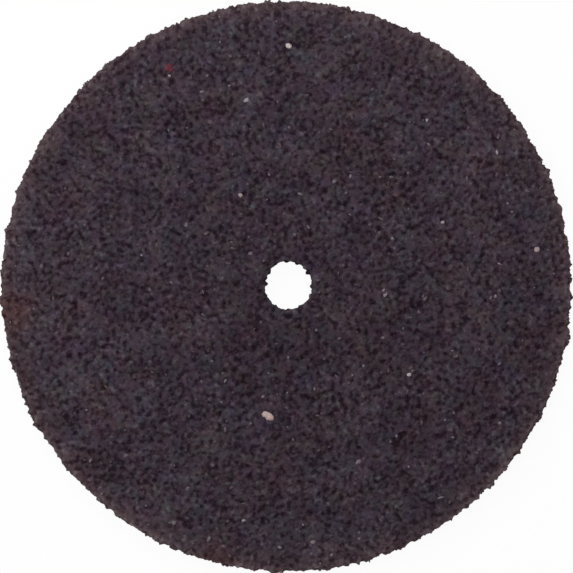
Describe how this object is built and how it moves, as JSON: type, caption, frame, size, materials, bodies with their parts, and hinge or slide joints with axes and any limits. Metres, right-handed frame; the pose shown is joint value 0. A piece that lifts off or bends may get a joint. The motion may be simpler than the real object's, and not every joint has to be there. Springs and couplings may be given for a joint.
{
  "type": "cut-off wheel",
  "caption": "Thin disc of abrasive grain in a resin bond, with a plain centre hole for a rotary tool's mandrel. Its rim and faces are rough with grain.",
  "frame": {"origin": "on the axis of the arbor hole, at the lower face", "axes": "+Z along the arbor hole, from the lower face to the upper one; X and Y lie in the lower face"},
  "size_m": [0.0242, 0.0241, 0.001],
  "materials": {
    "abrasive": "matte"
  },
  "bodies": {
    "root": {"abrasive_disc": "abrasive"}
  },
  "joints": []
}
